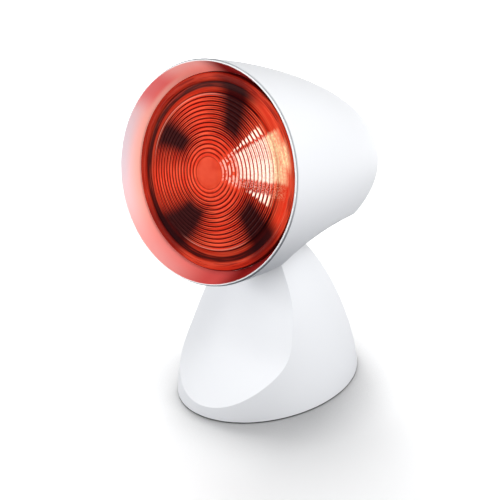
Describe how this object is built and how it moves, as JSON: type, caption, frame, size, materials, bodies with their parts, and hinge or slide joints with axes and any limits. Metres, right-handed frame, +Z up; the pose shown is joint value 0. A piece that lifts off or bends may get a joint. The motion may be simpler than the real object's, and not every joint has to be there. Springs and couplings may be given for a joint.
{
  "type": "infrared heat lamp",
  "caption": "Infrared heat lamp: a tilting bullet-shaped head with a red reflector bulb on a flared oval base with a rocker switch.",
  "frame": {"origin": "on the table, under the middle of the lamp's bounding box", "axes": "+Z up, the lamp shines towards -Y, +X to the lamp's left-hand side as seen from the front"},
  "size_m": [0.138, 0.1749, 0.2335],
  "materials": {
    "white_plastic": "satin moulded white",
    "ring_plastic": "satin moulded white",
    "grey_plastic": "fine spark texture",
    "nylon": "natural nylon",
    "rubber": "matte",
    "screw_steel": "zinc plated",
    "sheet_steel": "bright",
    "black_plastic": "gloss",
    "brass": "satin",
    "red_glass": "clear ruby, prism ribbed",
    "mirror_glass": "mirrored inside",
    "dark_glass": "black insulator glass",
    "clear_glass": "clear",
    "tungsten": "drawn wire",
    "porcelain": "glazed",
    "block_plastic": "moulded"
  },
  "bodies": {
    "base": {"base_shell": "white_plastic", "base_plate": "grey_plastic", "plate_screws": "screw_steel", "neck": "grey_plastic", "neck_screws": "screw_steel", "index_plate": "sheet_steel", "index_screws": "screw_steel", "switch_housing": "black_plastic", "switch_blades": "brass", "cord_inlet": "rubber", "terminal_block": "block_plastic", "terminal_screws": "screw_steel", "foot_front_left": "rubber", "foot_front_right": "rubber", "foot_rear_left": "rubber", "foot_rear_right": "rubber"},
    "head": {"head_shell": "white_plastic", "front_ring": "ring_plastic", "hinge_pin": "sheet_steel", "spacer_left": "nylon", "spacer_right": "nylon", "detent_housing": "nylon", "detent_plunger": "sheet_steel", "detent_spring": "sheet_steel", "bulb_lens": "red_glass", "bulb_reflector": "mirror_glass", "bulb_cap": "brass", "bulb_cap_insulator": "dark_glass", "bulb_contact": "brass", "filament": "tungsten", "filament_supports": "tungsten", "glass_stem": "clear_glass", "lampholder_body": "porcelain", "lampholder_sleeve": "brass", "lampholder_tongue": "brass", "lampholder_screws": "screw_steel", "lampholder_bracket": "sheet_steel", "bracket_screws": "screw_steel"},
    "rocker": {"switch_rocker": "black_plastic"}
  },
  "joints": [
    {"name": "head_tilt", "type": "hinge", "parent": "base", "child": "head", "pos_m": [0, -0.0108, 0.116], "axis": [-1, 0, 0], "range_deg": [-8, 24]},
    {"name": "switch_rock", "type": "hinge", "parent": "base", "child": "rocker", "pos_m": [0, 0.04982, 0.032], "axis": [-1, 0, 0], "range_deg": [0, 14]}
  ]
}
